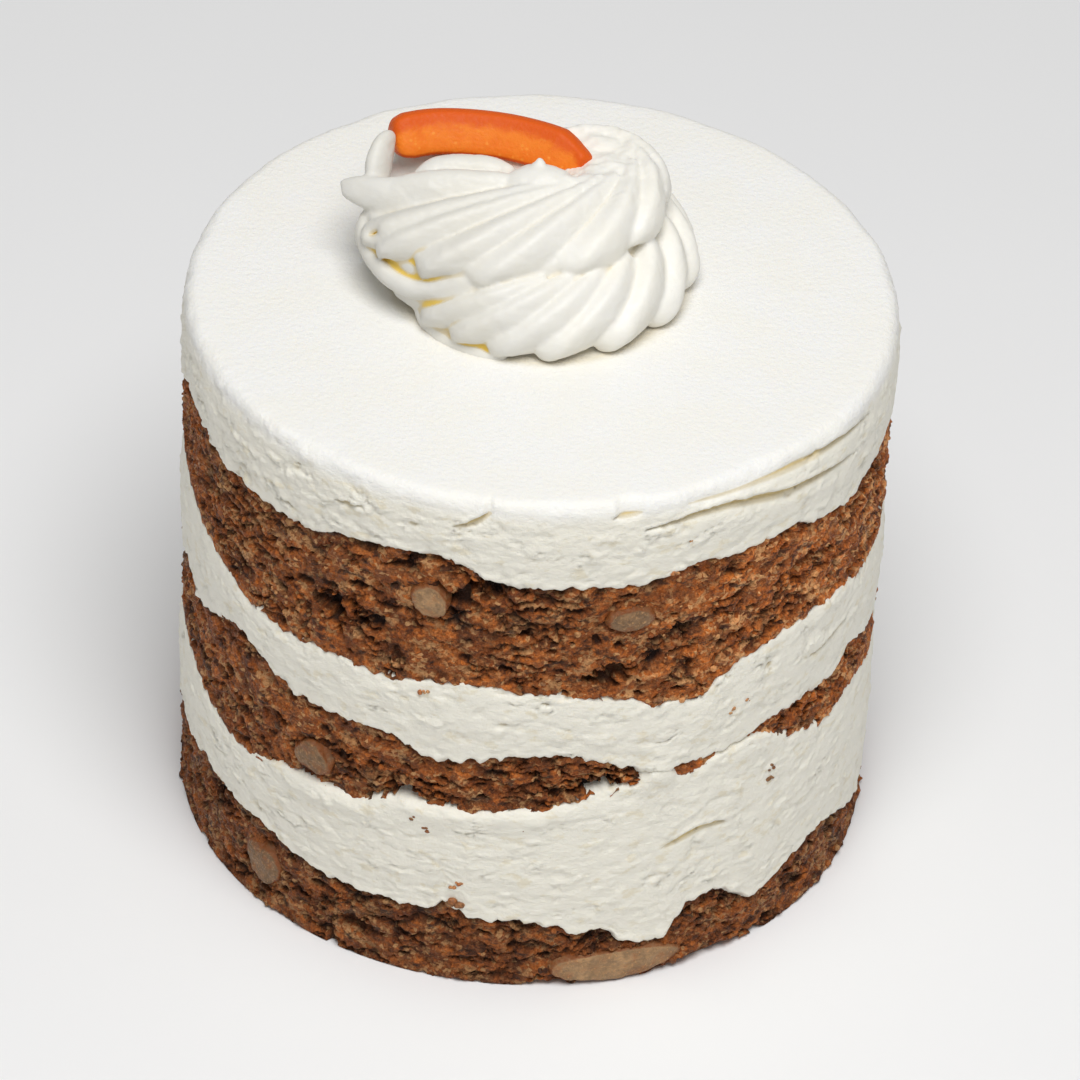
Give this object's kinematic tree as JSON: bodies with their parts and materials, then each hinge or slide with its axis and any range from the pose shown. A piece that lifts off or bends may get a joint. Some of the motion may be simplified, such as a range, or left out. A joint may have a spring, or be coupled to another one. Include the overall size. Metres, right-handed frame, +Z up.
{
  "type": "carrot cake",
  "caption": "Small round carrot cake of nut sponge and cream layers, topped with a piped cream swirl that holds a curved orange wedge.",
  "frame": {"origin": "centre of the flat underside, where the cake stands", "axes": "+Z up through the cream top; -Y is the front, below the swirl's open side and with the large cut nut at the foot; +X is to the right seen from the front"},
  "size_m": [0.0805, 0.0806, 0.0838],
  "materials": {
    "sponge": "moist brown crumb with darker holes",
    "cream": "soft satin off-white cream",
    "piped_cream": "smooth satin white cream",
    "wedge": "moist orange flesh and skin",
    "nut": "smooth cut nut"
  },
  "bodies": {
    "root": {"sponge_bottom": "sponge", "cream_lower": "cream", "sponge_middle": "sponge", "cream_upper": "cream", "sponge_top": "sponge", "cream_top": "cream", "cream_swirl": "piped_cream", "orange_wedge": "wedge", "nut_front_foot": "nut", "nut_left_foot": "nut", "nut_middle": "nut", "nut_top_left": "nut", "nut_top_right": "nut", "nut_back": "nut"}
  },
  "joints": []
}
